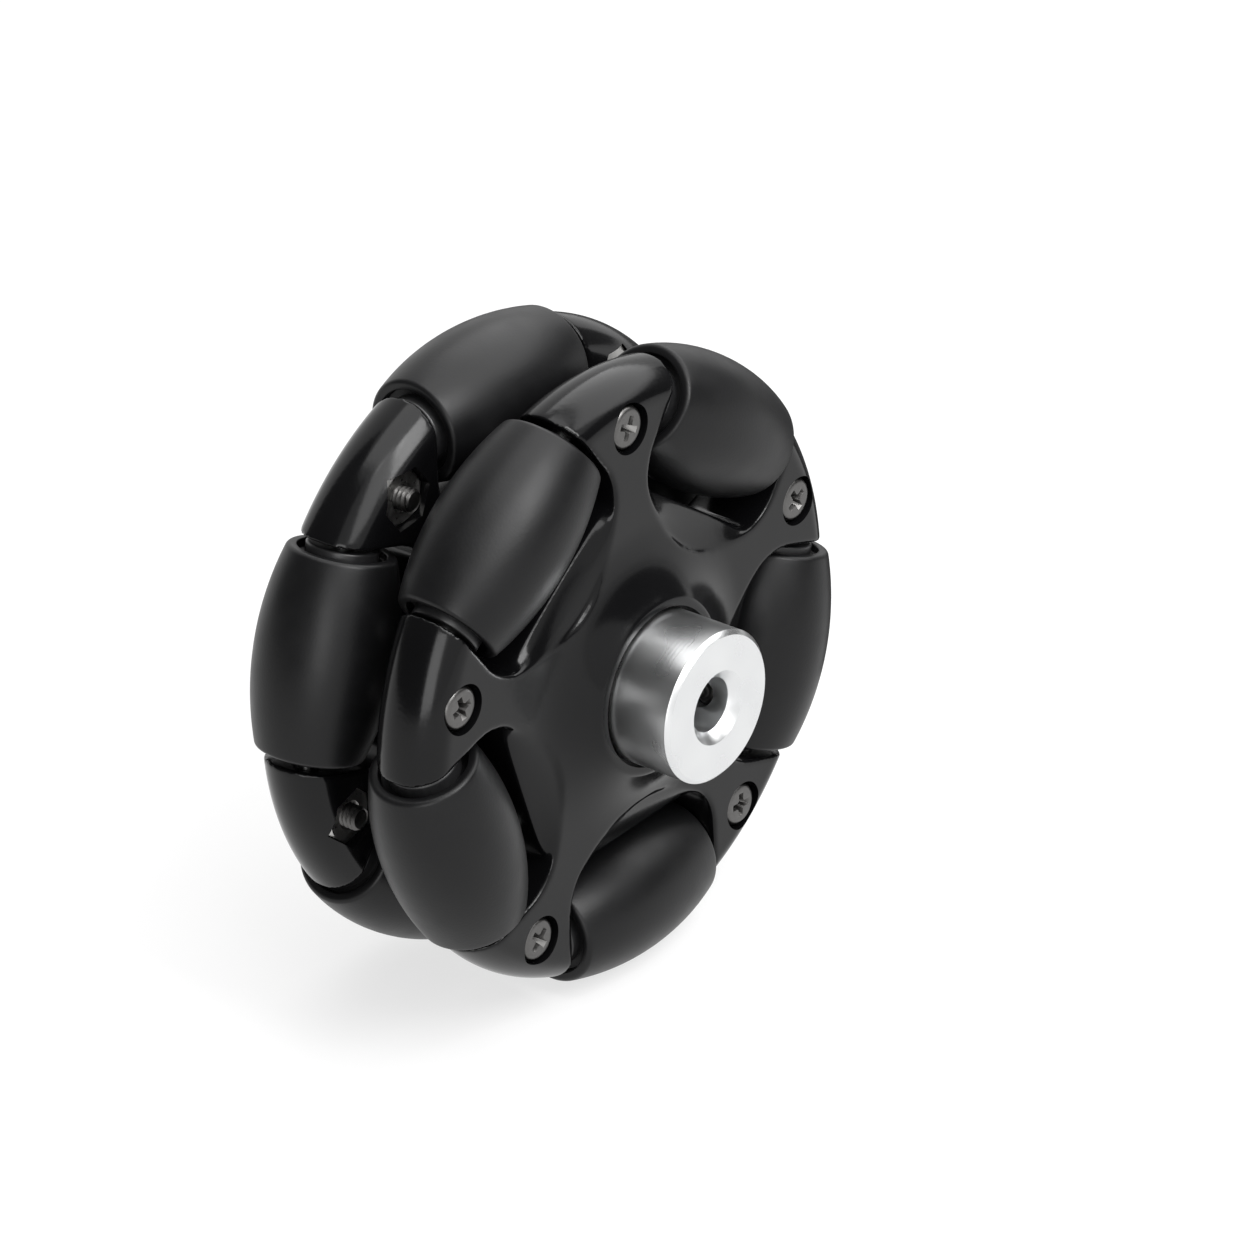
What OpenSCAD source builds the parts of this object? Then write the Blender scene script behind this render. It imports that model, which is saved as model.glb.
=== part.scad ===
// Double-row omni wheel with a shaft coupling.
//
// The wheel stands upright and turns about Y. The origin is on its axis, mid-way between
// the two rows of rollers; -Y is the coupling's side and +Z is up. Both rows are the same
// moulded wheel: two half plates clamped by five screws and nuts, with five barrel rollers
// on steel pins between them. The rear row faces the other way and is turned by half a step.

/* [Wheel] */
// Diameter over the rollers
wheel_d = 58; // [56:0.5:62]
// Distance between the mid-planes of the two rows, whose hubs meet face to face
row_pitch = 13; // [12.8:0.1:15]

/* [Rollers] */
// Largest diameter of a barrel roller
roller_d = 12.4; // [11.8:0.1:12.6]
// Length of the rubber tread
roller_l = 18.2; // [17.8:0.1:18.6]
// Rounding of the tread's end rims
tread_rim_r = 0.5; // [0.2:0.05:0.6]
// Diameter of the hard core inside the tread
core_d = 6.4; // [5.6:0.1:7]
// How far the core stands out of each end of the tread
core_proud = 0.5; // [0.2:0.05:0.7]
// Diameter of the groove round the core in the tread's end
groove_d = 7.8; // [7.4:0.1:8.2]
// Depth of that groove
groove_depth = 0.8; // [0.4:0.1:1.5]
// Diameter of the roller pins
pin_d = 2; // [1.5:0.1:2.4]
// Length of pin held in each head
pin_seat = 2.2; // [1.5:0.1:2.6]

/* [Plates] */
// Thickness of the head and the spokes from the row's mid-plane to the face
face_h = 3.7; // [3.4:0.1:4]
// Diameter of the round heads between the rollers
head_d = 8.2; // [7.9:0.1:8.8]
// Radius that blends a head's round flank into its flat face
head_blend_r = 2; // [0.5:0.1:3]
// How far the heads stay inside the rollers' circle
head_setback = 0.6; // [0.4:0.1:1]
// Diameter of the hub's flat end face
hub_d = 16; // [15.6:0.1:18]
// Height of the hub's visible end face above the row's mid-plane
hub_face_h = 6.2; // [5.6:0.1:7]
// Radius of the hollow between the hub's end face and the spokes
hub_sweep_r = 10; // [6:0.5:14]
// Distance from the wheel's axis to the floor of a roller pocket
pocket_floor_r = 12; // [11.5:0.1:13]
// Radius of the pocket's corners, which sets how slim a spoke is
pocket_corner_r = 5.6; // [5:0.1:6]
// Distance from the wheel's axis to the centres of those corners
pocket_corner_out = 19.6; // [19:0.1:20]

/* [Coupling] */
// Outer diameter of the coupling
coupling_d = 14; // [12:0.1:15]
// How far the coupling stands out of the hub's front face
coupling_out = 6.3; // [5:0.1:12]
// Bore for the motor shaft
bore_d = 5; // [3:0.1:6]
// Width of the chamfer round the bore's mouth
bore_chamfer = 0.9; // [0.2:0.1:1.5]
// Width of the chamfer on the coupling's rims
rim_chamfer = 0.4; // [0.1:0.1:1]
// Clear gap round the coupling at the hub's mouth
mouth_gap = 0.35; // [0.2:0.05:0.6]
// Depth of that gap
mouth_depth = 1.5; // [0.5:0.1:3]
// Diameter of the set screw
set_screw_d = 2.5; // [2:0.5:3]
// Length of the set screw
set_screw_l = 3.8; // [3:0.1:4]
// Distance from the coupling's front face to the set screw
set_screw_back = 3.7; // [3:0.1:4.2]

/* [Fasteners] */
// Thread diameter of the plate screws
screw_d = 2.2; // [1.6:0.1:2.4]
// Length of the plate screws under the head
screw_l = 6.3; // [5.8:0.1:7.5]
// Diameter of the screw heads
screw_head_d = 4; // [3.6:0.1:4.2]
// Height of the screw heads
screw_head_h = 1.6; // [1.2:0.1:1.8]
// How far the screw heads sit below the face
screw_sink = 0.25; // [0.1:0.05:0.5]
// Width across the flats of the nuts
nut_af = 4.8; // [4.4:0.1:4.9]
// Thickness of the nuts
nut_t = 1.6; // [1.3:0.1:1.8]
// How far the nuts sit below the face
nut_sink = 0.7; // [0.3:0.05:0.9]

/* [Hidden] */
$fn = 64;
rollers = 5;                              // rollers in a row
step = 360 / rollers;                     // angle between two rollers
eps = 0.01;                               // overlap of a cut past a face

// Clearances
core_clear = 0.05;                        // core on its pin, radial
seat_clear = 0.02;                        // parts that are clamped or pressed, radial
end_clear = 0.45;                         // core's end to the head beside it
head_clear = 0.3;                         // screw head in its counterbore, radial
nut_clear = 0.1;                          // nut in its hexagonal pocket, each side
shank_clear = 0.1;                        // screw in its plate holes, radial

// Wheel and rollers
wheel_r = wheel_d / 2;
roller_axis_r = wheel_r - roller_d / 2;   // wheel's axis to a roller's axis
core_l = roller_l + 2 * core_proud;
pocket_w = core_l + 2 * end_clear;        // clear width between two heads
pin_l = pocket_w + 2 * pin_seat;

// Heads, hub and screws
head_axis_r = wheel_r - head_setback - head_d / 2;
hub_joint_h = row_pitch / 2;              // hub's hidden end face above the row's mid-plane
hub_hole_r = coupling_d / 2 + seat_clear;
screw_seat_h = face_h - screw_sink - screw_head_h;
nut_seat_h = face_h - nut_sink - nut_t;

// Coupling, from its own front face to the rear hub's end face
hub_end = row_pitch / 2 + hub_face_h;     // either end face of the hub, from the origin
coupling_front = hub_end + coupling_out;
coupling_l = coupling_front + hub_end;
set_screw_angle = 1.5 * step;             // over the second roller

rows = ["front", "rear"];
roller_parts = ["tread", "core", "pin"];

// ---------------------------------------------------------------- placing

// A row's own frame has Z out of its visible face, Y up and the mid-plane at Z = 0.
module on_row(row) {
    rear = row == "rear";
    rotate([0, 0, rear ? 180 : 0])
        translate([0, -row_pitch / 2, 0])
            rotate([90, 0, 0])
                rotate([0, 0, rear ? step / 2 : 0])
                    children();
}

// Turns a child to the head with the given number, clockwise from the top.
module at_head(i) {
    rotate([0, 0, -i * step])
        children();
}

// Puts a child's Z axis on the axis of the roller with the given number.
module at_roller(i) {
    rotate([0, 0, -(i - 0.5) * step])
        translate([0, roller_axis_r, 0])
            rotate([0, 90, 0])
                children();
}

// ---------------------------------------------------------------- rollers

// Half section of the barrel: its flank is an arc of the wheel's own circle.
module barrel_section() {
    rim_y = roller_l / 2 - tread_rim_r;
    rim_x = sqrt(pow(wheel_r - tread_rim_r, 2) - pow(rim_y, 2)) - roller_axis_r;
    flank_y = rim_y * wheel_r / (wheel_r - tread_rim_r);
    intersection() {
        translate([-roller_axis_r, 0])
            circle(r = wheel_r, $fn = 180);
        translate([0, -flank_y])
            square([roller_d, 2 * flank_y]);
    }
    translate([0, -roller_l / 2])
        square([rim_x, roller_l]);
    for (s = [-1, 1])
        translate([rim_x, s * rim_y])
            circle(r = tread_rim_r);
}

module tread() {
    color([0.15, 0.15, 0.16])
        rotate_extrude($fn = 96)
            difference() {
                barrel_section();
                translate([-eps, -roller_l])
                    square([core_d / 2 + eps, 2 * roller_l]);
                for (s = [-1, 1])
                    translate([0, s * roller_l / 2 - groove_depth])
                        square([groove_d / 2, 2 * groove_depth]);
            }
}

module core() {
    color([0.2, 0.2, 0.21])
        difference() {
            cylinder(d = core_d, h = core_l, center = true);
            cylinder(r = pin_d / 2 + core_clear, h = core_l + 1, center = true);
        }
}

module pin() {
    color([0.6, 0.6, 0.62])
        cylinder(d = pin_d, h = pin_l, center = true);
}

// ---------------------------------------------------------------- plates

// Section of a head above the mid-plane, round the head's own axis: a round flank blended
// into the flat face.
module head_section() {
    head_r = head_d / 2;
    blend_y = face_h - head_blend_r;
    blend_x = sqrt(pow(head_r - head_blend_r, 2) - pow(blend_y, 2));
    tangent_y = blend_y * head_r / (head_r - head_blend_r);
    intersection() {
        circle(r = head_r, $fn = 128);
        translate([-head_r, 0])
            square([head_d, tangent_y]);
    }
    translate([-blend_x, 0])
        square([2 * blend_x, face_h]);
    intersection() {
        for (s = [-1, 1])
            translate([s * blend_x, blend_y])
                circle(r = head_blend_r);
        translate([-head_r, 0])
            square([head_d, face_h]);
    }
}

// Half section of the whole disc above the mid-plane, with a hub of the given height: hub,
// hollow sweep, web and round rim.
module disc_section(hub_h) {
    rise = hub_h - face_h;
    sweep_out = hub_d / 2 + sqrt(rise * (2 * hub_sweep_r - rise));
    difference() {
        square([sweep_out, hub_h]);
        translate([sweep_out, face_h + hub_sweep_r])
            circle(r = hub_sweep_r, $fn = 128);
    }
    square([head_axis_r, face_h]);
    translate([head_axis_r, 0])
        head_section();
}

// Outline of a roller pocket, open at the rim: a broad floor arc between two corner arcs.
module pocket_outline() {
    corner_x = pocket_w / 2 - pocket_corner_r;
    rise = pocket_corner_out - pocket_floor_r;
    floor_r = (pow(corner_x, 2) + pow(rise, 2) - pow(pocket_corner_r, 2))
        / (2 * (rise - pocket_corner_r));
    tangent_x = corner_x * floor_r / (floor_r - pocket_corner_r);
    for (s = [-1, 1])
        translate([s * corner_x, pocket_corner_out])
            circle(r = pocket_corner_r);
    intersection() {
        translate([0, pocket_floor_r + floor_r])
            circle(r = floor_r, $fn = 128);
        translate([-tangent_x, pocket_floor_r])
            square([2 * tangent_x, rise]);
    }
    translate([-pocket_w / 2, pocket_corner_out])
        square([pocket_w, wheel_r]);
}

// Half a wheel above the mid-plane, with its pockets, pin grooves and screw holes.
module half_plate(hub_h) {
    difference() {
        rotate_extrude($fn = 180)
            disc_section(hub_h);
        for (i = [1:rollers]) {
            rotate([0, 0, -(i - 0.5) * step])
                translate([0, 0, -1])
                    linear_extrude(hub_h + 2)
                        pocket_outline();
            at_roller(i)
                cylinder(r = pin_d / 2 + seat_clear, h = pin_l + 2 * seat_clear, center = true);
            at_head(i)
                translate([0, head_axis_r, -1])
                    cylinder(r = screw_d / 2 + shank_clear, h = face_h + 2, $fn = 32);
        }
        translate([0, 0, -1])
            cylinder(r = hub_hole_r, h = hub_h + 2);
    }
}

module outer_plate() {
    color([0.1, 0.1, 0.11])
        difference() {
            half_plate(hub_face_h);
            for (i = [1:rollers])
                at_head(i)
                    translate([0, head_axis_r, screw_seat_h])
                        cylinder(r = screw_head_d / 2 + head_clear, h = face_h);
            translate([0, 0, hub_face_h - mouth_depth])
                cylinder(r = coupling_d / 2 + mouth_gap, h = mouth_depth + 1);
        }
}

module inner_plate() {
    color([0.1, 0.1, 0.11])
        rotate([0, 180, 0])
            difference() {
                half_plate(hub_joint_h);
                for (i = [1:rollers])
                    at_head(i)
                        translate([0, head_axis_r, nut_seat_h])
                            hexagon(nut_af + 2 * nut_clear, face_h);
            }
}

// ---------------------------------------------------------------- fasteners

// Hexagonal prism with a corner pointing along Y.
module hexagon(across_flats, height) {
    rotate([0, 0, 30])
        cylinder(d = across_flats / cos(30), h = height, $fn = 6);
}

module plate_screw() {
    translate([0, 0, screw_seat_h]) {
        cylinder(d = screw_head_d, h = screw_head_h);
        translate([0, 0, -screw_l])
            cylinder(d = screw_d, h = screw_l + eps, $fn = 32);
    }
}

module plate_nut() {
    difference() {
        hexagon(nut_af, nut_t);
        translate([0, 0, -1])
            cylinder(r = screw_d / 2 + seat_clear, h = nut_t + 2, $fn = 32);
    }
}

module plate_screws() {
    color([0.45, 0.45, 0.47])
        for (i = [1:rollers])
            at_head(i)
                translate([0, head_axis_r, 0])
                    plate_screw();
}

module plate_nuts() {
    color([0.6, 0.6, 0.62])
        for (i = [1:rollers])
            at_head(i)
                translate([0, head_axis_r, -nut_seat_h - nut_t])
                    plate_nut();
}

// ---------------------------------------------------------------- coupling

// Puts a child's Z axis on the set screw's axis, pointing out of the coupling.
module at_set_screw() {
    translate([0, -coupling_front + set_screw_back, 0])
        rotate([0, set_screw_angle, 0])
            children();
}

module coupling() {
    color([0.8, 0.81, 0.83])
        difference() {
            translate([0, -coupling_front, 0])
                rotate([-90, 0, 0])
                    rotate_extrude($fn = 128)
                        polygon([
                            [bore_d / 2 + bore_chamfer, 0],
                            [coupling_d / 2 - rim_chamfer, 0],
                            [coupling_d / 2, rim_chamfer],
                            [coupling_d / 2, coupling_l - rim_chamfer],
                            [coupling_d / 2 - rim_chamfer, coupling_l],
                            [bore_d / 2 + rim_chamfer, coupling_l],
                            [bore_d / 2, coupling_l - rim_chamfer],
                            [bore_d / 2, bore_chamfer]
                        ]);
            at_set_screw()
                cylinder(r = set_screw_d / 2 + seat_clear, h = coupling_d, $fn = 32);
        }
}

module set_screw() {
    color([0.35, 0.35, 0.37])
        at_set_screw()
            translate([0, 0, coupling_d / 2 - set_screw_l - 0.3])
                difference() {
                    cylinder(d = set_screw_d, h = set_screw_l, $fn = 32);
                    translate([0, 0, set_screw_l / 2])
                        cylinder(d = set_screw_d / 2, h = set_screw_l, $fn = 6);
                }
}

// ---------------------------------------------------------------- the wheel

for (row = rows) {
    on_row(row) outer_plate();
    on_row(row) inner_plate();
    on_row(row) plate_screws();
    on_row(row) plate_nuts();
    for (i = [1:rollers]) {
        on_row(row) at_roller(i) tread();
        on_row(row) at_roller(i) core();
        on_row(row) at_roller(i) pin();
    }
}
coupling();
set_screw();
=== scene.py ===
# %% [markdown]
# # A double-row omni wheel
#
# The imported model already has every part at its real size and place. This lesson dresses it:
# fine pieces are modelled over the plain solids, each gets a material, and a small studio
# is built round the wheel. Lengths are in metres, so millimetre sizes are multiplied by MM.

import math

import bpy
from mathutils import Matrix, Vector


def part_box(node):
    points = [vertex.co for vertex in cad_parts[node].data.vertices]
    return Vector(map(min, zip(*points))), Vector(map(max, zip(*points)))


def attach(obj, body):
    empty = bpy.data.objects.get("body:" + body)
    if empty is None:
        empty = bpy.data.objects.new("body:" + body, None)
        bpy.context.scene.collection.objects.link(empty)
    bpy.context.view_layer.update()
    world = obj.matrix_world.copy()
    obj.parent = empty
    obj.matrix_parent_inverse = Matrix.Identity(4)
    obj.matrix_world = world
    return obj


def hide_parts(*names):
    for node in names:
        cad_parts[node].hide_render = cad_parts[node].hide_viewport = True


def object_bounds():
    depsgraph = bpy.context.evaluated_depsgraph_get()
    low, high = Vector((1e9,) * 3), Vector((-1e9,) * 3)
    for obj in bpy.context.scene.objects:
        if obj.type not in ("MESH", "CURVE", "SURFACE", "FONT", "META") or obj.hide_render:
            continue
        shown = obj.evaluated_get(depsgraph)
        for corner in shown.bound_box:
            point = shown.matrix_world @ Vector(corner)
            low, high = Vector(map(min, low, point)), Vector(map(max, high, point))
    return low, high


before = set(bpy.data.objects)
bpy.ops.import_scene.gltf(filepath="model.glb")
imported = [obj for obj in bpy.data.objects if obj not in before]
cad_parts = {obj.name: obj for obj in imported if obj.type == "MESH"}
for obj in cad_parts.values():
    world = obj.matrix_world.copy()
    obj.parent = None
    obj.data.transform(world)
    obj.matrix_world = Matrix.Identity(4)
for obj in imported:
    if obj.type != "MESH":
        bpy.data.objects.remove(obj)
cad_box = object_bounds()

MM = 0.001
print("nodes", len(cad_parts), "box in mm", [round(v / MM, 2) for v in cad_box[1] - cad_box[0]])

# %% [markdown]
# ## The driving sizes
#
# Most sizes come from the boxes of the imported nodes. The third front roller is the lowest one
# and lies along X, so its box gives the barrel's length and diameter, the wheel's radius and
# the place of the front row. Sizes that no box shows, such as a blend radius, are written here
# once, as the construction has them.

# %% Sizes
ROWS = ("front", "rear")
ROLLERS = 5
STEP = 2 * math.pi / ROLLERS


def node_size(node):
    low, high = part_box(node)
    return high - low


roller_l, _, roller_d = node_size("front_tread_3")
core_l, _, core_d = node_size("front_core_3")
pin_l, _, pin_d = node_size("front_pin_3")
wheel_r = -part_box("front_tread_3")[0].z
row_y = (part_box("front_tread_3")[0].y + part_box("front_tread_3")[1].y) / 2
roller_axis_r = wheel_r - roller_d / 2

coupling_low, coupling_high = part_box("coupling")
coupling_r = coupling_high.x
hub_face_h = row_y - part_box("front_outer_plate")[0].y
hub_joint_h = -row_y

screw_low, screw_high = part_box("front_plate_screws")
screw_top_h = row_y - screw_low.y
screw_tip_h = row_y - screw_high.y
nut_low, nut_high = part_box("front_plate_nuts")
nut_seat_h = nut_low.y - row_y
nut_t = nut_high.y - nut_low.y

face_h = screw_top_h + 0.25 * MM
pocket_w = core_l + 0.9 * MM
head_r = 4.1 * MM
head_blend_r = 2 * MM
head_axis_r = wheel_r - 0.6 * MM - head_r
hub_r = 8 * MM
hub_sweep_r = 10 * MM
pocket_floor_r = 12 * MM
pocket_corner_r = 5.6 * MM
pocket_corner_out = 19.6 * MM
shelf_edge_r = 15.6 * MM
shelf_drop = 1.2 * MM
bore_r = 2.5 * MM
bore_chamfer = 0.9 * MM
rim_chamfer = 0.4 * MM
mouth_gap = 0.35 * MM
mouth_depth = 1.5 * MM
tread_rim_r = 0.5 * MM
groove_r = 3.9 * MM
groove_depth = 0.8 * MM
screw_r = 1.1 * MM
screw_head_r = 2 * MM
screw_head_h = 1.6 * MM
screw_pitch = 0.45 * MM
nut_af = 4.8 * MM
set_screw_r = 1.25 * MM
set_screw_l = 3.8 * MM
set_screw_back = 3.7 * MM
set_screw_turn = 1.5 * STEP
print("wheel radius", round(wheel_r / MM, 2), "row at", round(row_y / MM, 2))

# %% [markdown]
# ## Placing things on a row
#
# Both rows are the same moulded wheel, so everything is modelled once in a row's own frame:
# Z out of the visible face, Y up and the mid-plane at zero. One matrix then lays a piece on
# the front row, and another turns it round and by half a step for the rear row.

# %% Frames of the rows, heads and rollers


def on_row(row):
    front = Matrix.Translation((0, row_y, 0)) @ Matrix.Rotation(math.pi / 2, 4, "X")
    if row == "front":
        return front
    return Matrix.Rotation(math.pi, 4, "Z") @ front @ Matrix.Rotation(STEP / 2, 4, "Z")


def at_head(i):
    return Matrix.Rotation(-i * STEP, 4, "Z") @ Matrix.Translation((0, head_axis_r, 0))


def at_roller(i):
    turn = Matrix.Rotation(-(i - 0.5) * STEP, 4, "Z")
    return turn @ Matrix.Translation((0, roller_axis_r, 0)) @ Matrix.Rotation(math.pi / 2, 4, "Y")


# %% [markdown]
# ## Drawing an outline
#
# A turned or moulded part starts as an outline. Here a plane is merged to a single point and
# that point is extruded from place to place, just as a modeller draws a profile by hand. The
# round stretches are arcs worked out from a centre and a radius.

# %% Outlines and lathe work


def select_only(*pieces):
    bpy.ops.object.select_all(action="DESELECT")
    for piece in pieces:
        piece.select_set(True)
    bpy.context.view_layer.objects.active = pieces[0]


def arc(centre, radius, start, end, count):
    """Points from one angle to another, in degrees, on an arc in the drawing plane."""
    angles = [math.radians(start + (end - start) * k / count) for k in range(count + 1)]
    return [(centre[0] + radius * math.cos(a), centre[1] + radius * math.sin(a)) for a in angles]


def draw(name, points):
    """A chain of edges through 3-D points. It is left in edit mode, all selected."""
    points = [Vector(p) for p in points]
    points = [p for k, p in enumerate(points) if k == 0 or (p - points[k - 1]).length > 1e-7]
    bpy.ops.object.select_all(action="DESELECT")
    bpy.ops.mesh.primitive_plane_add(size=MM, location=points[0])
    bpy.ops.object.transform_apply(location=True)
    piece = bpy.context.object
    piece.name = name
    bpy.ops.object.mode_set(mode="EDIT")
    bpy.ops.mesh.merge(type="CENTER")
    for here, there in zip(points, points[1:]):
        bpy.ops.mesh.extrude_region_move(TRANSFORM_OT_translate={"value": there - here})
    bpy.ops.mesh.select_all(action="SELECT")
    return piece


def close_up():
    """Ends an edit: merges doubles, turns the faces outwards and goes back to object mode."""
    bpy.ops.mesh.select_all(action="SELECT")
    bpy.ops.mesh.remove_doubles(threshold=1e-7)
    bpy.ops.mesh.normals_make_consistent(inside=False)
    bpy.ops.object.mode_set(mode="OBJECT")


def turned(name, profile, steps=96, closed=False):
    """A solid of revolution about Z. The profile's points are (radius, height)."""
    profile = profile + profile[:1] if closed else profile
    piece = draw(name, [(r, 0, h) for r, h in profile])
    bpy.ops.mesh.spin(steps=steps, angle=2 * math.pi, center=(0, 0, 0), axis=(0, 0, 1))
    close_up()
    return piece


def prism(name, outline, low, high):
    """An outline in the XY plane, filled and drawn up from one height to another."""
    piece = draw(name, [(x, y, low) for x, y in outline])
    bpy.ops.mesh.edge_face_add()
    bpy.ops.mesh.extrude_region_move(TRANSFORM_OT_translate={"value": (0, 0, high - low)})
    close_up()
    return piece


def apply(piece, kind, **settings):
    """Adds a modifier with its settings and applies it."""
    select_only(piece)
    modifier = piece.modifiers.new(kind.title(), kind)
    for key, value in settings.items():
        setattr(modifier, key, value)
    bpy.ops.object.modifier_apply(modifier=modifier.name)


def cut(piece, tool, operation="DIFFERENCE"):
    """Cuts the tool's shape out of a piece, or keeps what both share. The tool is used up."""
    apply(piece, "BOOLEAN", object=tool, operation=operation, solver="EXACT")
    bpy.data.objects.remove(tool)


def placed(piece, name, matrix):
    """A copy with its own mesh, laid at a place that is then written into the mesh."""
    select_only(piece)
    bpy.ops.object.duplicate(linked=False)
    copy = bpy.context.object
    copy.name = name
    copy.matrix_world = matrix
    bpy.ops.object.transform_apply(location=True, rotation=True, scale=True)
    return copy


def repeated(piece, name, matrices):
    """Copies of one piece at several places, joined as one object. The first is used up."""
    copies = [placed(piece, name, matrix) for matrix in matrices]
    bpy.data.objects.remove(piece)
    select_only(*copies)
    bpy.ops.object.join()
    return bpy.context.object


def smooth(piece, degrees=30):
    select_only(piece)
    bpy.ops.object.shade_smooth_by_angle(angle=math.radians(degrees))


def triangles(piece):
    return sum(len(face.vertices) - 2 for face in piece.data.polygons)


# %% [markdown]
# ## Materials: black nylon
#
# The plates are injection-moulded nylon filled with glass: near black, glossy where it lay
# against the polished tool, with a shallow waviness and a fine grain of fibre at the skin.
# One function turns a hex colour to linear light, and one adds a node with its settings and
# links. Patterns are scaled in millimetres from each piece's own object coordinates.

# %% Node helpers


def linear(code):
    parts = [int(code[k:k + 2], 16) / 255 for k in (1, 3, 5)]
    return [p / 12.92 if p <= 0.04045 else ((p + 0.055) / 1.055) ** 2.4 for p in parts] + [1]


def add(tree, kind, inputs=None, **settings):
    """Adds a node. An input is a value, or another node's output to link."""
    node = tree.nodes.new("ShaderNode" + kind)
    for key, value in settings.items():
        setattr(node, key, value)
    for key, value in (inputs or {}).items():
        if isinstance(value, bpy.types.NodeSocket):
            tree.links.new(value, node.inputs[key])
        else:
            node.inputs[key].default_value = value
    return node


def new_material(name, **constants):
    """A material with its tree, its Principled shader and object coordinates in metres."""
    material = bpy.data.materials.new(name)
    material.use_nodes = True
    tree = material.node_tree
    shader = tree.nodes["Principled BSDF"]
    for key, value in constants.items():
        shader.inputs[key.replace("_", " ")].default_value = value
    place = add(tree, "Mapping", {"Vector": add(tree, "TexCoord").outputs["Object"]})
    return material, tree, shader, place.outputs["Vector"]


def per_size(size_mm):
    """Scale of a noise whose grains are about this many millimetres across."""
    return 1 / (size_mm * MM)


# %% Moulded nylon
nylon, tree, shader, place = new_material("moulded_black_nylon", IOR=1.31)
waves = add(tree, "TexNoise", {"Vector": place, "Scale": per_size(3.5), "Detail": 2.0})
grain = add(tree, "TexNoise", {"Vector": place, "Scale": per_size(0.22), "Detail": 3.0})
tint = add(tree, "MixRGB", {"Fac": waves.outputs["Fac"], "Color1": linear("#070708"),
                            "Color2": linear("#0c0c0d")})
tree.links.new(tint.outputs["Color"], shader.inputs["Base Color"])
gloss = add(tree, "MapRange", {"Value": grain.outputs["Fac"], "From Min": 0.3, "From Max": 0.7,
                               "To Min": 0.13, "To Max": 0.19})
tree.links.new(gloss.outputs["Result"], shader.inputs["Roughness"])
skin = add(tree, "Bump", {"Height": waves.outputs["Fac"], "Strength": 0.2, "Distance": 0.03 * MM})
fibre = add(tree, "Bump", {"Height": grain.outputs["Fac"], "Strength": 0.2,
                           "Distance": 0.0025 * MM, "Normal": skin.outputs["Normal"]})
tree.links.new(fibre.outputs["Normal"], shader.inputs["Normal"])

# %% [markdown]
# ## Materials: rubber and the roller core
#
# The treads are a firm thermoplastic rubber moulded round a nylon core. It has a satin skin
# that breaks a reflection up softly, with a fine pitted texture from an etched tool.

# %% Satin rubber
rubber, tree, shader, place = new_material("satin_black_rubber", IOR=1.33)
cloud = add(tree, "TexNoise", {"Vector": place, "Scale": per_size(2.5), "Detail": 3.0})
pits = add(tree, "TexVoronoi", {"Vector": place, "Scale": per_size(0.25)})
tint = add(tree, "MixRGB", {"Fac": cloud.outputs["Fac"], "Color1": linear("#0b0b0c"),
                            "Color2": linear("#101011")})
tree.links.new(tint.outputs["Color"], shader.inputs["Base Color"])
gloss = add(tree, "MapRange", {"Value": cloud.outputs["Fac"], "From Min": 0.3, "From Max": 0.7,
                               "To Min": 0.36, "To Max": 0.42})
tree.links.new(gloss.outputs["Result"], shader.inputs["Roughness"])
skin = add(tree, "Bump", {"Height": pits.outputs["Distance"], "Strength": 0.3,
                          "Distance": 0.012 * MM})
tree.links.new(skin.outputs["Normal"], shader.inputs["Normal"])

# %% Roller core
core_nylon, tree, shader, place = new_material("moulded_core_nylon", IOR=1.53)
cloud = add(tree, "TexNoise", {"Vector": place, "Scale": per_size(0.6), "Detail": 2.0})
tint = add(tree, "MixRGB", {"Fac": cloud.outputs["Fac"], "Color1": linear("#151516"),
                            "Color2": linear("#222223")})
tree.links.new(tint.outputs["Color"], shader.inputs["Base Color"])
gloss = add(tree, "MapRange", {"Value": cloud.outputs["Fac"], "To Min": 0.3, "To Max": 0.45})
tree.links.new(gloss.outputs["Result"], shader.inputs["Roughness"])
skin = add(tree, "Bump", {"Height": cloud.outputs["Fac"], "Strength": 0.2,
                          "Distance": 0.01 * MM})
tree.links.new(skin.outputs["Normal"], shader.inputs["Normal"])

# %% [markdown]
# ## Materials: steel and aluminium
#
# Screws and nuts are steel with a thin plating, dull in patches. The pins are drawn steel
# wire, with faint lines along them. The coupling is turned aluminium: the tool leaves a
# fine spiral, which is rings on the end face and close bands along the side.

# %% Plated and drawn steel


def steel(name, dark, light, low, high, grain_mm):
    material, tree, shader, place = new_material(name, Metallic=1.0)
    cloud = add(tree, "TexNoise", {"Vector": place, "Scale": per_size(grain_mm), "Detail": 4.0})
    tint = add(tree, "MixRGB", {"Fac": cloud.outputs["Fac"], "Color1": linear(dark),
                                "Color2": linear(light)})
    tree.links.new(tint.outputs["Color"], shader.inputs["Base Color"])
    gloss = add(tree, "MapRange", {"Value": cloud.outputs["Fac"], "From Min": 0.3,
                                   "From Max": 0.7, "To Min": low, "To Max": high})
    tree.links.new(gloss.outputs["Result"], shader.inputs["Roughness"])
    skin = add(tree, "Bump", {"Height": cloud.outputs["Fac"], "Strength": 0.2,
                              "Distance": 0.01 * MM})
    tree.links.new(skin.outputs["Normal"], shader.inputs["Normal"])
    return material


screw_steel = steel("plated_screw_steel", "#565554", "#6a6968", 0.3, 0.4, 0.35)
nut_steel = steel("plated_nut_steel", "#a8a7a5", "#c6c5c3", 0.26, 0.38, 0.4)
pin_steel = steel("drawn_pin_steel", "#9b9b9b", "#b9b9b8", 0.2, 0.3, 0.3)
socket_steel = steel("blackened_set_screw_steel", "#3b3a39", "#504f4d", 0.35, 0.45, 0.3)

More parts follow.
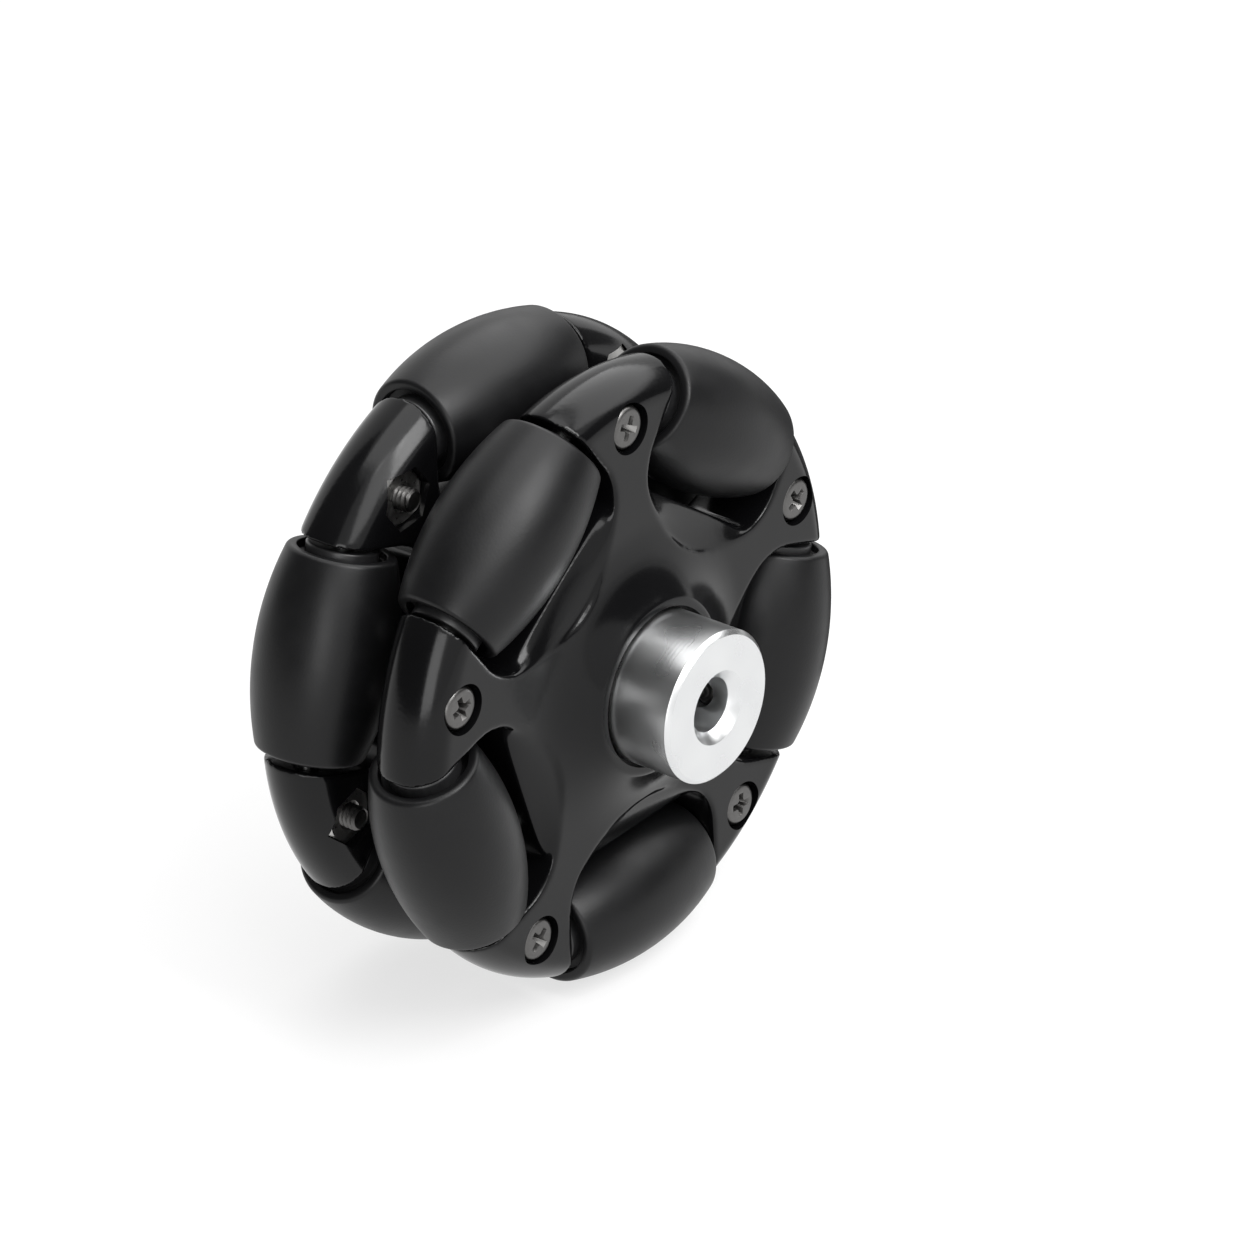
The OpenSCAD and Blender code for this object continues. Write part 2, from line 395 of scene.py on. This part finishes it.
# %% Turned aluminium
aluminium, tree, shader, place = new_material("turned_aluminium", Metallic=1.0)
facing = add(tree, "SeparateXYZ", {"Vector": add(tree, "TexCoord").outputs["Normal"]})
on_end = add(tree, "Math", {0: add(tree, "Math", {0: facing.outputs["Y"]},
                                   operation="ABSOLUTE").outputs[0], 1: 0.8},
             operation="GREATER_THAN")
# A wave repeats every 0.314 / scale. The real feed, about 0.1 mm a turn, is too fine to show.
feed = 0.314 / (0.4 * MM)
bands = add(tree, "TexWave", {"Vector": place, "Scale": feed, "Distortion": 0.0,
                              "Detail": 0.0}, bands_direction="Y")
rings = add(tree, "TexWave", {"Vector": place, "Scale": feed, "Distortion": 0.0,
                              "Detail": 0.0}, wave_type="RINGS", rings_direction="Y")
spiral = add(tree, "MixRGB", {"Fac": on_end.outputs[0], "Color1": bands.outputs["Color"],
                              "Color2": rings.outputs["Color"]})
handling = add(tree, "TexNoise", {"Vector": place, "Scale": per_size(3.0), "Detail": 0.0})
tint = add(tree, "MixRGB", {"Fac": handling.outputs["Fac"], "Color1": linear("#d2d3d4"),
                            "Color2": linear("#dcdddd")})
tree.links.new(tint.outputs["Color"], shader.inputs["Base Color"])
gloss = add(tree, "MapRange", {"Value": handling.outputs["Fac"], "From Min": 0.3,
                               "From Max": 0.7, "To Min": 0.27, "To Max": 0.31})
tree.links.new(gloss.outputs["Result"], shader.inputs["Roughness"])
cutter_marks = add(tree, "Bump", {"Height": spiral.outputs["Color"], "Strength": 0.2,
                                  "Distance": 0.004 * MM})
tree.links.new(cutter_marks.outputs["Normal"], shader.inputs["Normal"])

# %% [markdown]
# ## The moulded wheel
#
# Each row is moulded in two half plates that meet at the mid-plane. Both halves are made
# together, so that they meet without a step. The full section, hub and sweep and round rim, is
# turned, and five pockets for the rollers are cut out of it, which leaves the spokes and the
# round heads. The hub side of a pocket rolls over from each face and ends in a straight edge
# beside the roller. A voxel remesh and a smooth then soften every edge as a mould does.

# %% Section of the disc


def half_section(hub_h):
    """From the axis over the hub's end face down to the rim at the mid-plane."""
    rise = hub_h - face_h
    sweep_out = hub_r + math.sqrt(rise * (2 * hub_sweep_r - rise))
    sweep_centre = (sweep_out, face_h + hub_sweep_r)
    sweep_start = math.degrees(math.atan2(hub_h - sweep_centre[1], hub_r - sweep_out))
    blend_h = face_h - head_blend_r
    blend_out = math.sqrt((head_r - head_blend_r) ** 2 - blend_h ** 2)
    blend_end = math.degrees(math.atan2(blend_h, blend_out))
    return ([(0, hub_h)] + arc(sweep_centre, hub_sweep_r, sweep_start, -90, 16)
            + arc((head_axis_r + blend_out, blend_h), head_blend_r, 90, blend_end, 12)
            + arc((head_axis_r, 0), head_r, blend_end, 0, 16))


spare = 1.5 * MM
lower = [(r, -h) for r, h in half_section(hub_joint_h)]
lower[0] = (0, -hub_joint_h - spare)
lower.insert(1, (hub_r, -hub_joint_h - spare))
moulding = turned("moulding", half_section(hub_face_h) + lower[::-1][1:], steps=240)
print("turned disc", triangles(moulding), "triangles")

# %% Roller pockets


corner_x = pocket_w / 2 - pocket_corner_r
rise = pocket_corner_out - pocket_floor_r
floor_r = (corner_x ** 2 + rise ** 2 - pocket_corner_r ** 2) / (2 * (rise - pocket_corner_r))
floor_y = pocket_floor_r + floor_r
joint = math.atan2(pocket_corner_out - floor_y, corner_x)


def pocket_outline():
    """Open at the rim: a broad floor arc between two corner arcs."""
    top, turn = wheel_r + 5 * MM, math.degrees(joint)
    return ([(pocket_w / 2, top)]
            + arc((corner_x, pocket_corner_out), pocket_corner_r, 0, turn, 16)
            + arc((0, floor_y), floor_r, turn, -180 - turn, 24)
            + arc((-corner_x, pocket_corner_out), pocket_corner_r, -180 - turn, -180, 16)
            + [(-pocket_w / 2, top)])


def lofted(name, levels):
    """A solid through outlines that have their points in common order, each at its height."""
    base = levels[0][1]
    piece = prism(name, base, levels[0][0], levels[-1][0])
    select_only(piece)
    bpy.ops.object.mode_set(mode="EDIT")
    for height, _ in levels[1:-1]:
        bpy.ops.mesh.select_all(action="SELECT")
        bpy.ops.mesh.bisect(plane_co=(0, 0, height), plane_no=(0, 0, 1))
    bpy.ops.object.mode_set(mode="OBJECT")
    for vertex in piece.data.vertices:
        outline = min(levels, key=lambda level: abs(level[0] - vertex.co.z))[1]
        k = min(range(len(base)), key=lambda k: (Vector(base[k]) - vertex.co.xy).length)
        vertex.co.xy = outline[k]
    return piece


def sunk_outline(share):
    """The pocket's outline, its floor drawn out by a share of the way to the straight edge."""
    return [(x, y + share * max(shelf_edge_r - y, 0)) for x, y in pocket_outline()]


# From each face the hub side rolls over, ever steeper, down to the straight edge of the slot.
levels = [(9 * MM, sunk_outline(0))]
for share in (0, 0.2, 0.4, 0.6, 0.8, 1):
    levels.append((face_h - shelf_drop * share * (0.45 + 0.55 * share), sunk_outline(share)))
pocket = lofted("pocket", [(-height, outline) for height, outline in levels] + levels[::-1])
turns = [Matrix.Rotation(-(i - 0.5) * STEP, 4, "Z") for i in range(1, ROLLERS + 1)]
cut(moulding, repeated(pocket, "pockets", turns))
apply(moulding, "REMESH", mode="VOXEL", voxel_size=0.17 * MM)
apply(moulding, "SMOOTH", factor=0.5, iterations=12)
print("softened moulding", triangles(moulding), "triangles")

# %% [markdown]
# ## Crisp cuts in the moulding
#
# Holes that a steel core pin leaves have sharp edges, so they are cut after the softening: a
# counterbore for each screw head, a hexagonal pocket for each nut, the screw and pin holes,
# and the hub's hole with the wider mouth round the coupling.

# %% Holes
clear = 0.02 * MM
heads = [at_head(i) for i in range(1, ROLLERS + 1)]
rollers = [at_roller(i) for i in range(1, ROLLERS + 1)]


def rod(name, radius, low, high, steps=48):
    return turned(name, [(0, low), (radius, low), (radius, high), (0, high)], steps)


def hexagon(name, across_flats, low, high):
    corners = arc((0, 0), across_flats / math.sqrt(3), 90, 390, 5)
    return prism(name, corners, low, high)


screw_seat_h = screw_top_h - screw_head_h
cut(moulding, repeated(rod("counterbore", screw_head_r + 0.3 * MM, screw_seat_h, 8 * MM),
                       "counterbores", heads))
cut(moulding, repeated(hexagon("nut_room", nut_af + 0.2 * MM, -8 * MM, -nut_seat_h),
                       "nut_rooms", heads))
cut(moulding, repeated(rod("shank_hole", screw_r + 0.1 * MM, -8 * MM, 8 * MM, 32),
                       "shank_holes", heads))
cut(moulding, repeated(rod("pin_hole", pin_d / 2 + clear, -pin_l / 2, pin_l / 2, 32),
                       "pin_holes", rollers))
hub_room = [(0, -9 * MM), (coupling_r + clear, -9 * MM),
            (coupling_r + clear, hub_face_h - mouth_depth),
            (coupling_r + mouth_gap, hub_face_h - mouth_depth),
            (coupling_r + mouth_gap, 9 * MM), (0, 9 * MM)]
cut(moulding, turned("hub_room", hub_room, 128))
print("moulding with its holes", triangles(moulding), "triangles")

# %% Two half plates for each row


def half(name, low, high):
    """The part of the moulding between two heights."""
    slab = prism(name + "_slab", [(-40 * MM, -40 * MM), (40 * MM, -40 * MM),
                                  (40 * MM, 40 * MM), (-40 * MM, 40 * MM)], low, high)
    piece = placed(moulding, name, Matrix.Identity(4))
    cut(piece, slab, "INTERSECT")
    return piece


def finish_piece(piece, material, slot, body, *nodes, crease=30):
    """Gives a piece its finish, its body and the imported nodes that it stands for."""
    piece.data.materials.clear()
    piece.data.materials.append(material)
    smooth(piece, crease)
    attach(piece, body)
    if nodes:
        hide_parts(*nodes)


outer = half("outer_half", 0, 9 * MM)
inner = half("inner_half", -hub_joint_h, 0)
bpy.data.objects.remove(moulding)
for row in ROWS:
    for side, piece in (("outer", outer), ("inner", inner)):
        shell = placed(piece, f"{row}_{side}_shell", on_row(row))
        finish_piece(shell, nylon, "plate", "hub", f"{row}_{side}_plate", crease=55)
print("half plates", triangles(outer), triangles(inner), "triangles")
bpy.data.objects.remove(outer)
bpy.data.objects.remove(inner)

# %% [markdown]
# ## Rollers
#
# A barrel's flank is an arc of the wheel's own circle, so that the wheel rolls smoothly from
# one roller to the next. The tread is a thick tube with rounded rims and a groove round the
# core at each end, and the core stands out a little, to run against the head beside it.

# %% Tread and core
rim_h = roller_l / 2 - tread_rim_r
rim_out = math.sqrt((wheel_r - tread_rim_r) ** 2 - rim_h ** 2) - roller_axis_r
flank_end = math.degrees(math.asin(rim_h / (wheel_r - tread_rim_r)))
lip = 0.15 * MM
half_l = roller_l / 2
tread_profile = (
    [(core_d / 2, -half_l + groove_depth), (groove_r - lip, -half_l + groove_depth)]
    + arc((groove_r - lip, -half_l + groove_depth - lip), lip, 90, 0, 3)
    + arc((groove_r + lip, -half_l + lip), lip, 180, 270, 3)
    + arc((rim_out, -rim_h), tread_rim_r, -90, -flank_end, 8)
    + arc((-roller_axis_r, 0), wheel_r, -flank_end, flank_end, 40)
    + arc((rim_out, rim_h), tread_rim_r, flank_end, 90, 8)
    + arc((groove_r + lip, half_l - lip), lip, 90, 180, 3)
    + arc((groove_r - lip, half_l - groove_depth + lip), lip, 0, -90, 3)
    + [(core_d / 2, half_l - groove_depth)])
tread = turned("tread", tread_profile, 96, closed=True)

core_round = 0.25 * MM
core_r, core_bore_r = core_d / 2, pin_d / 2 + 0.05 * MM
core_profile = (
    [(core_bore_r, -core_l / 2 + core_round), (core_bore_r + core_round, -core_l / 2)]
    + arc((core_r - core_round, -core_l / 2 + core_round), core_round, -90, 0, 4)
    + arc((core_r - core_round, core_l / 2 - core_round), core_round, 0, 90, 4)
    + [(core_bore_r + core_round, core_l / 2), (core_bore_r, core_l / 2 - core_round)])
core = turned("core", core_profile, 64, closed=True)

for row in ROWS:
    for i in range(1, ROLLERS + 1):
        body = f"{row}_roller_{i}"
        matrix = on_row(row) @ at_roller(i)
        barrel = placed(tread, f"{row}_barrel_{i}", matrix)
        finish_piece(barrel, rubber, "tread", body, f"{row}_tread_{i}")
        tube = placed(core, f"{row}_core_tube_{i}", matrix)
        finish_piece(tube, core_nylon, "core", body, f"{row}_core_{i}")
        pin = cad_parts[f"{row}_pin_{i}"]
        pin.data.materials.clear()
        pin.data.materials.append(pin_steel)
print("roller", triangles(tread), "+", triangles(core), "triangles")
bpy.data.objects.remove(tread)
bpy.data.objects.remove(core)

# %% [markdown]
# ## Screws and nuts
#
# A pan head is turned, and a cross recess is cut into it: two crossed wings that narrow
# towards the bottom, with a small pyramid where they meet. The thread shows beyond the nut, so
# it is a real helix: one tooth's flank is swept up by a Screw modifier, exactly a pitch a turn.

# %% Pan-head screw
screw_l = screw_seat_h - screw_tip_h
screw_core_r = screw_r - 0.6 * screw_pitch
dome = 0.55 * MM
screw_profile = (
    [(0, screw_head_h), (0.7 * MM, screw_head_h)]
    + arc((screw_head_r - dome, screw_head_h - dome), dome, 90, 0, 8)
    + [(screw_head_r, 0.1 * MM), (screw_head_r - 0.1 * MM, 0), (screw_core_r, 0),
       (screw_core_r, 0.2 * MM - screw_l), (0, 0.2 * MM - screw_l)])
screw = turned("screw", screw_profile, 48)


def taper_box(name, x, y, low, high, foot):
    """A block whose lower end is scaled by foot."""
    bpy.ops.object.select_all(action="DESELECT")
    bpy.ops.mesh.primitive_cube_add(size=1, location=(0, 0, (low + high) / 2),
                                    scale=(x, y, high - low))
    bpy.ops.object.transform_apply(location=True, rotation=True, scale=True)
    piece = bpy.context.object
    piece.name = name
    for vertex in piece.data.vertices:
        vertex.select = vertex.co.z < (low + high) / 2
    for edge in piece.data.edges:
        edge.select = all(piece.data.vertices[v].select for v in edge.vertices)
    for face in piece.data.polygons:
        face.select = all(piece.data.vertices[v].select for v in face.vertices)
    bpy.ops.object.mode_set(mode="EDIT")
    bpy.ops.transform.resize(value=(foot, foot, 1), center_override=(0, 0, low))
    bpy.ops.object.mode_set(mode="OBJECT")
    return piece


wing = (2.5 * MM, 0.68 * MM)
recess_low, recess_high = 0.2 * MM, screw_head_h + 0.3 * MM
cut(screw, taper_box("wing_x", wing[0], wing[1], recess_low, recess_high, 0.45))
cut(screw, taper_box("wing_y", wing[1], wing[0], recess_low, recess_high, 0.45))
pit = taper_box("pit", 1.2 * MM, 1.2 * MM, recess_low, recess_high, 0.5)
cut(screw, repeated(pit, "pit_turned", [Matrix.Rotation(math.pi / 4, 4, "Z")]))
apply(screw, "BEVEL", width=0.05 * MM, segments=2, limit_method="ANGLE",
      angle_limit=math.radians(35))

# %% Screw thread
turns_shown = 10
tooth = draw("thread", [(screw_core_r, 0, -screw_l - screw_pitch),
                        (screw_r, 0, -screw_l - 0.55 * screw_pitch),
                        (screw_r, 0, -screw_l - 0.45 * screw_pitch),
                        (screw_core_r, 0, -screw_l)])
bpy.ops.object.mode_set(mode="OBJECT")
apply(tooth, "SCREW", axis="Z", angle=2 * math.pi, screw_offset=screw_pitch,
      iterations=turns_shown, steps=32, render_steps=32, use_merge_vertices=True,
      merge_threshold=1e-6)
select_only(tooth)
bpy.ops.object.mode_set(mode="EDIT")
for height, keep_above in ((-screw_l, True), (-screw_l + (turns_shown - 2) * screw_pitch, False)):
    bpy.ops.mesh.select_all(action="SELECT")
    bpy.ops.mesh.bisect(plane_co=(0, 0, height), plane_no=(0, 0, 1), use_fill=True,
                        clear_inner=keep_above, clear_outer=not keep_above)
close_up()
tip_cone = turned("tip_cone", [(screw_r - 0.3 * MM, -screw_l - 0.1 * MM),
                               (screw_r + MM, -screw_l - 0.1 * MM),
                               (screw_r + MM, -screw_l + 1.2 * MM),
                               (screw_r - 0.3 * MM, -screw_l)], 32, closed=True)
cut(tooth, tip_cone)
select_only(screw, tooth)
bpy.ops.object.join()
print("screw", triangles(screw), "triangles")

# %% Hexagonal nut
nut = hexagon("nut", nut_af, 0, nut_t)
corner_r = nut_af / math.sqrt(3)
chamfer = (corner_r - nut_af / 2) * math.tan(math.radians(30))
rims = turned("rims", [(nut_af / 2 - 0.05 * MM, -0.1 * MM), (corner_r + MM, -0.1 * MM),
                       (corner_r + MM, nut_t + 0.1 * MM), (nut_af / 2 - 0.05 * MM, nut_t + 0.1 * MM),
                       (nut_af / 2 - 0.05 * MM, nut_t),
                       (corner_r, nut_t - chamfer), (corner_r, chamfer),
                       (nut_af / 2 - 0.05 * MM, 0)], 64, closed=True)
cut(nut, rims)
mouth_r = screw_r + 0.25 * MM
cut(nut, turned("nut_bore", [(0, -MM), (mouth_r, -MM), (mouth_r, 0), (screw_r, 0.2 * MM),
                             (screw_r, nut_t - 0.2 * MM), (mouth_r, nut_t),
                             (mouth_r, nut_t + MM), (0, nut_t + MM)], 48))
print("nut", triangles(nut), "triangles")

# %% Sets of five
for row, lean in (("front", (12, 50, 78, 31, 64)), ("rear", (20, 5, 40, 70, 55))):
    screw_places = [head @ Matrix.Translation((0, 0, screw_seat_h))
                    @ Matrix.Rotation(math.radians(angle), 4, "Z")
                    for head, angle in zip(heads, lean)]
    screws = repeated(placed(screw, "screw_copy", Matrix.Identity(4)), f"{row}_screw_set",
                      [on_row(row) @ place for place in screw_places])
    finish_piece(screws, screw_steel, "screw", "hub", f"{row}_plate_screws")
    nut_places = [head @ Matrix.Translation((0, 0, -nut_seat_h - nut_t)) for head in heads]
    nuts = repeated(placed(nut, "nut_copy", Matrix.Identity(4)), f"{row}_nut_set",
                    [on_row(row) @ place for place in nut_places])
    finish_piece(nuts, nut_steel, "nut", "hub", f"{row}_plate_nuts")
bpy.data.objects.remove(screw)
bpy.data.objects.remove(nut)

# %% [markdown]
# ## The coupling and its set screw
#
# The coupling is a turned sleeve, pressed through both hubs. Its rims and the mouth of the bore
# are chamfered, and the set screw's hole is drilled across, with a burr-free edge.

# %% Coupling
coupling_l = coupling_high.y - coupling_low.y
coupling_profile = [
    (bore_r, bore_chamfer), (bore_r + bore_chamfer, 0), (coupling_r - rim_chamfer, 0),
    (coupling_r, rim_chamfer), (coupling_r, coupling_l - rim_chamfer),
    (coupling_r - rim_chamfer, coupling_l), (bore_r + rim_chamfer, coupling_l),
    (bore_r, coupling_l - rim_chamfer)]
sleeve = turned("sleeve", coupling_profile, 160, closed=True)
from_front = Matrix.Translation((0, coupling_low.y, 0)) @ Matrix.Rotation(-math.pi / 2, 4, "X")
at_set_screw = (Matrix.Translation((0, coupling_low.y + set_screw_back, 0))
                @ Matrix.Rotation(set_screw_turn, 4, "Y"))
coupling = placed(sleeve, "turned_coupling", from_front)
bpy.data.objects.remove(sleeve)
cross_hole = turned("cross_hole", [(0, 0), (set_screw_r + clear, 0),
                                   (set_screw_r + clear, coupling_r - 0.15 * MM),
                                   (set_screw_r + 0.2 * MM, coupling_r + 0.05 * MM),
                                   (set_screw_r + 0.2 * MM, coupling_r + MM),
                                   (0, coupling_r + MM)], 48)
cut(coupling, repeated(cross_hole, "cross_hole_placed", [at_set_screw]))
apply(coupling, "BEVEL", width=0.04 * MM, segments=2, limit_method="ANGLE",
      angle_limit=math.radians(30))
finish_piece(coupling, aluminium, "coupling", "hub", "coupling")
print("coupling", triangles(coupling), "triangles")

# %% Set screw
top = coupling_r - 0.3 * MM
bottom = top - set_screw_l
grub = turned("grub", [(0, bottom + 0.3 * MM), (0.5 * MM, bottom), (0.8 * MM, bottom),
                       (set_screw_r, bottom + 0.45 * MM), (set_screw_r, top - 0.2 * MM),
                       (set_screw_r - 0.2 * MM, top), (0, top)], 48)
cut(grub, hexagon("socket", 1.3 * MM, top - 1.9 * MM, top + MM))
grub_screw = placed(grub, "grub_screw", at_set_screw)
bpy.data.objects.remove(grub)
finish_piece(grub_screw, socket_steel, "screw", "hub", "set_screw")
print("set screw", triangles(grub_screw), "triangles")

# %% [markdown]
# ## Studio
#
# The wheel stands on a pale floor in front of a white background. Black plastic is all
# reflections, so the studio is what draws it. The white surround gives the light rims, long
# soft boxes give the stripes along the heads and rollers, and black flags between them, which
# only reflections see, keep the rest of each curve dark and its stripe's edge crisp.

# %% World
world = bpy.data.worlds.new("studio_world")
bpy.context.scene.world = world
world.use_nodes = True
tree = world.node_tree
tree.nodes.clear()


def seen_directly(tree):
    """1 for a ray from the camera, a reflection or a transmission, and 0 for diffuse light."""
    rays = add(tree, "LightPath")
    shown = add(tree, "Math", {0: rays.outputs["Is Camera Ray"],
                               1: rays.outputs["Is Glossy Ray"]}, operation="MAXIMUM")
    return add(tree, "Math", {0: shown.outputs[0], 1: rays.outputs["Is Transmission Ray"]},
               operation="MAXIMUM").outputs[0]


ambient = add(tree, "Background", {"Color": linear("#ffffff"), "Strength": 0.28})
backdrop = add(tree, "Background", {"Color": linear("#ffffff"), "Strength": 1.0})
mix = add(tree, "MixShader", {0: seen_directly(tree), 1: ambient.outputs[0],
                              2: backdrop.outputs[0]})
add(tree, "OutputWorld", {"Surface": mix.outputs[0]})

# %% Floor
bpy.ops.object.select_all(action="DESELECT")
bpy.ops.mesh.primitive_plane_add(size=3, location=(0, 0, cad_box[0].z - 0.02 * MM))
floor = bpy.context.object
floor.name = "studio_floor"
paper = bpy.data.materials.new("white_paper")
paper.use_nodes = True
tree = paper.node_tree
tree.nodes.clear()
matt = add(tree, "BsdfDiffuse", {"Color": linear("#f4f4f4")})
lift = add(tree, "Emission", {"Color": linear("#ffffff"), "Strength": seen_directly(tree)})
both = add(tree, "MixShader", {0: 0.7, 1: matt.outputs[0], 2: lift.outputs[0]})
add(tree, "OutputMaterial", {"Surface": both.outputs[0]})
floor.data.materials.append(paper)

# %% Soft boxes
LAMP_DISTANCE = 0.7


def direction(azimuth, elevation):
    """From the wheel: azimuth 0 is the coupling's side, and a positive one is towards +X."""
    a, e = math.radians(azimuth), math.radians(elevation)
    return Vector((math.sin(a) * math.cos(e), -math.cos(a) * math.cos(e), math.sin(e)))


def soft_box(name, azimuth, elevation, wide, high, brightness):
    """An area lamp that faces the wheel. wide and high are the angles that it fills."""
    lamp = bpy.data.lights.new(name, "AREA")
    lamp.shape = "RECTANGLE"
    lamp.size = 2 * LAMP_DISTANCE * math.tan(math.radians(wide / 2))
    lamp.size_y = 2 * LAMP_DISTANCE * math.tan(math.radians(high / 2))
    lamp.energy = brightness * math.pi * lamp.size * lamp.size_y
    box = bpy.data.objects.new(name, lamp)
    bpy.context.scene.collection.objects.link(box)
    box.location = LAMP_DISTANCE * direction(azimuth, elevation)
    box.rotation_euler = direction(azimuth, elevation).to_track_quat("Z", "Y").to_euler()
    box.visible_camera = False


soft_box("strip_box", -60, 13, 22, 28, 4.6)
soft_box("key_box", 2, 50, 18, 32, 12)
soft_box("fill_box", -28, 48, 22, 38, 3.6)
soft_box("side_box", 88, 48, 70, 34, 2.8)
soft_box("top_box", 0, 88, 40, 40, 2.6)

# %% Black flags
cloth = bpy.data.materials.new("black_cloth")
cloth.use_nodes = True
tree = cloth.node_tree
tree.nodes.clear()
dim = add(tree, "Emission", {"Color": linear("#ffffff"), "Strength": 0.12})
add(tree, "OutputMaterial", {"Surface": dim.outputs[0]})


def flag(name, first, last, low, high):
    """A curved black wall round the wheel, between two azimuths and two elevations."""
    wall = 1.2
    points = arc((0, 0), wall, first - 90, last - 90, 24)
    foot, head = wall * math.tan(math.radians(low)), wall * math.tan(math.radians(high))
    piece = draw(name, [(x, y, foot) for x, y in points])
    bpy.ops.mesh.extrude_region_move(TRANSFORM_OT_translate={"value": (0, 0, head - foot)})
    bpy.ops.object.mode_set(mode="OBJECT")
    piece.data.materials.append(cloth)
    piece.visible_camera = piece.visible_diffuse = piece.visible_shadow = False


flag("left_flag", -172, -72, -1, 64)
flag("right_flag", 14, 95, 2, 32)

# %% Black card on the floor
near, far, card_h = 50 * MM, 500 * MM, cad_box[0].z + MM
card = draw("floor_card", [(x, y, card_h) for x, y in arc((0, 0), near, 78 - 90, 140 - 90, 24)])
bpy.ops.mesh.extrude_region()
bpy.ops.transform.resize(value=(far / near, far / near, 1), center_override=(0, 0, card_h))
bpy.ops.object.mode_set(mode="OBJECT")
card.data.materials.append(cloth)
card.visible_camera = card.visible_diffuse = card.visible_shadow = False

# %% [markdown]
# ## Camera
#
# A long lens from the upper left, half a metre away, so that the rings stay nearly parallel.
# Its directions are those of a level camera turned a few degrees about the wheel's own axis.

# %% Camera
azimuth, elevation, roll = math.radians(-51.39), math.radians(27.56), math.radians(2.37)
right = Vector((math.cos(azimuth), math.sin(azimuth), 0))
back = Vector((math.sin(azimuth) * math.cos(elevation), -math.cos(azimuth) * math.cos(elevation),
               math.sin(elevation)))
up = back.cross(right)
tilt = Matrix.Rotation(roll, 3, "Y")
axes = Matrix([tilt @ right, tilt @ up, tilt @ back]).transposed()
camera_data = bpy.data.cameras.new("camera")
camera_data.sensor_width = 36
camera_data.lens = 186.8
camera_data.shift_x = -0.0122
camera_data.shift_y = 0.0455
camera_data.clip_start = 0.05
camera = bpy.data.objects.new("camera", camera_data)
bpy.context.scene.collection.objects.link(camera)
aim = Vector((0, row_y - face_h + 0.25 * MM, 0))
camera.matrix_world = Matrix.Translation(aim + 0.56 * (tilt @ back)) @ axes.to_4x4()
bpy.context.scene.camera = camera
bpy.context.scene.view_settings.view_transform = "Standard"
